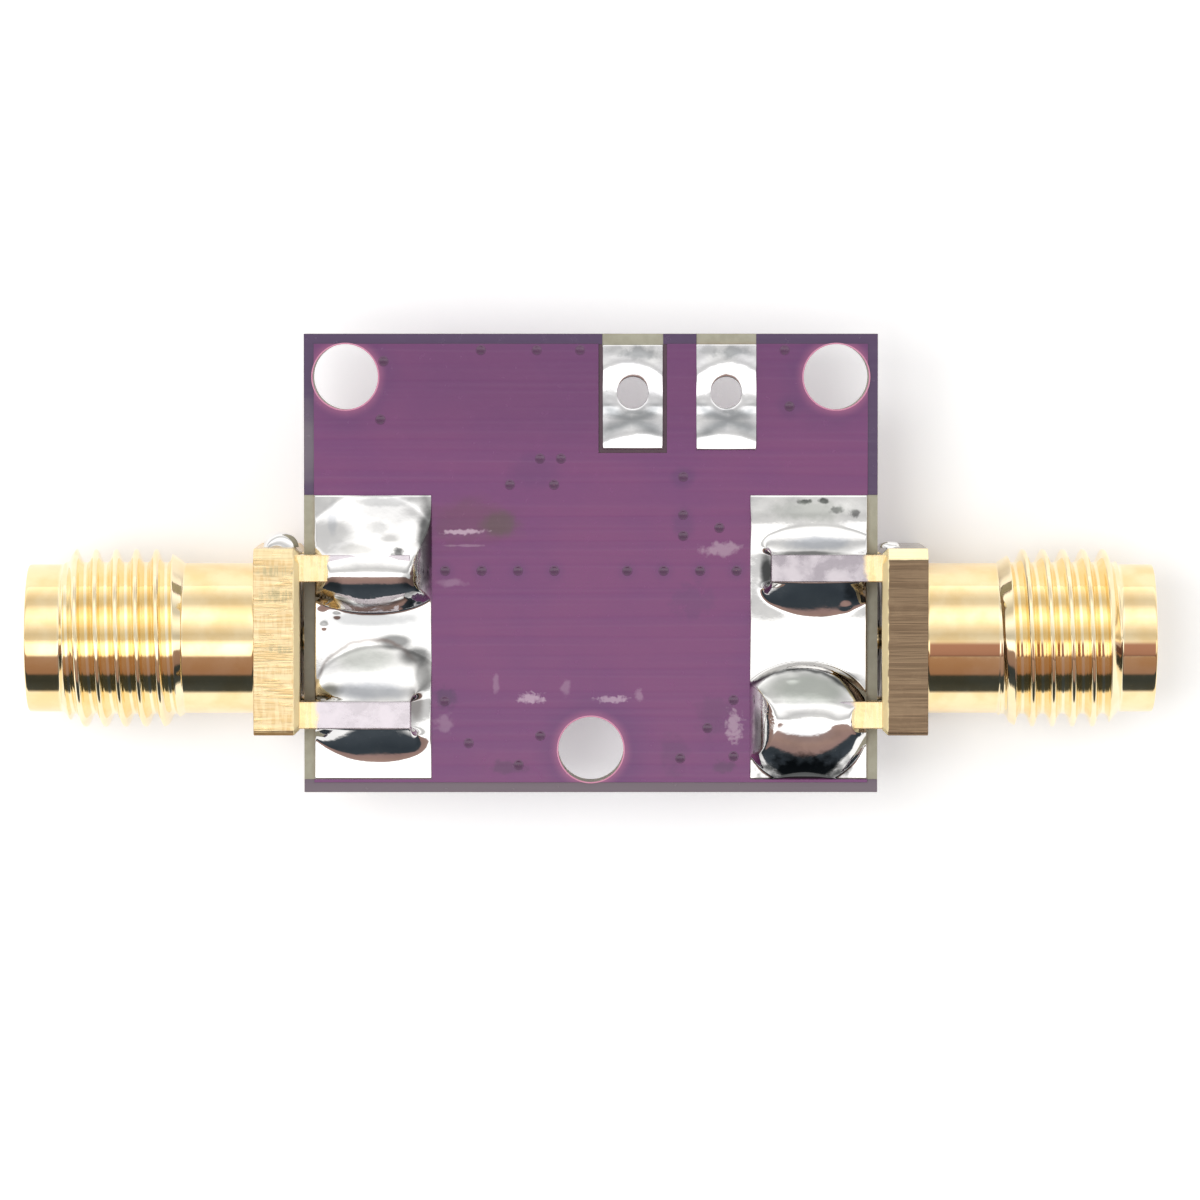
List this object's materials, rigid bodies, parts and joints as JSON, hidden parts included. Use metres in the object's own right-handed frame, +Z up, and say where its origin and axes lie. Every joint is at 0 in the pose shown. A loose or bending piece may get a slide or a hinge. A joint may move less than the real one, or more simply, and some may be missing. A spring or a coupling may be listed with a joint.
{
  "type": "bias tee",
  "caption": "Small printed board between threaded coaxial jacks that feeds direct current onto a signal line, with wire pads, chip parts underneath and mounting holes.",
  "frame": {"origin": "middle of the board in X and Y, at the level of the lower faces of the jack flanges", "axes": "+X from the left jack to the right jack, +Y towards the edge with the wire pads, +Z up, out of the back of the board"},
  "size_m": [0.0394, 0.016, 0.0065],
  "materials": {
    "laminate": "glass and epoxy board",
    "copper": "rolled foil",
    "solder_mask": "satin purple lacquer",
    "tin": "hot-air levelled tin",
    "gold": "gold plated",
    "fluoropolymer": "waxy white",
    "solder": "bright",
    "capacitor_ceramic": "fired",
    "tinned_end": "matt tin",
    "bobbin_ceramic": "white alumina",
    "ferrite": "dark sintered",
    "enamelled_wire": "glossy enamel"
  },
  "bodies": {
    "root": {"board_laminate": "laminate", "ground_foil_back": "copper", "ground_foil_front": "copper", "rf_line_left": "copper", "rf_line_right": "copper", "choke_link_trace": "copper", "supply_trace": "copper", "solder_mask_back": "solder_mask", "solder_mask_front": "solder_mask", "plus_terminal": "tin", "minus_terminal": "tin", "left_jack_body": "gold", "right_jack_body": "gold", "left_jack_contact": "gold", "right_jack_contact": "gold", "left_jack_insulator": "fluoropolymer", "right_jack_insulator": "fluoropolymer", "left_back_solder": "solder", "right_back_solder": "solder", "left_front_solder": "solder", "right_front_solder": "solder", "left_pin_solder": "solder", "right_pin_solder": "solder", "left_edge_bead": "solder", "right_edge_bead": "solder", "chip_solder": "solder", "blocking_capacitor": "capacitor_ceramic", "bypass_capacitor_small": "capacitor_ceramic", "bypass_capacitor_large": "capacitor_ceramic", "blocking_capacitor_ends": "tinned_end", "bypass_capacitor_small_ends": "tinned_end", "bypass_capacitor_large_ends": "tinned_end", "rf_choke_feet": "tinned_end", "bulk_choke_feet": "tinned_end", "rf_choke_bobbin": "bobbin_ceramic", "bulk_choke_bobbin": "ferrite", "rf_choke_winding": "enamelled_wire", "bulk_choke_winding": "enamelled_wire"}
  },
  "joints": []
}
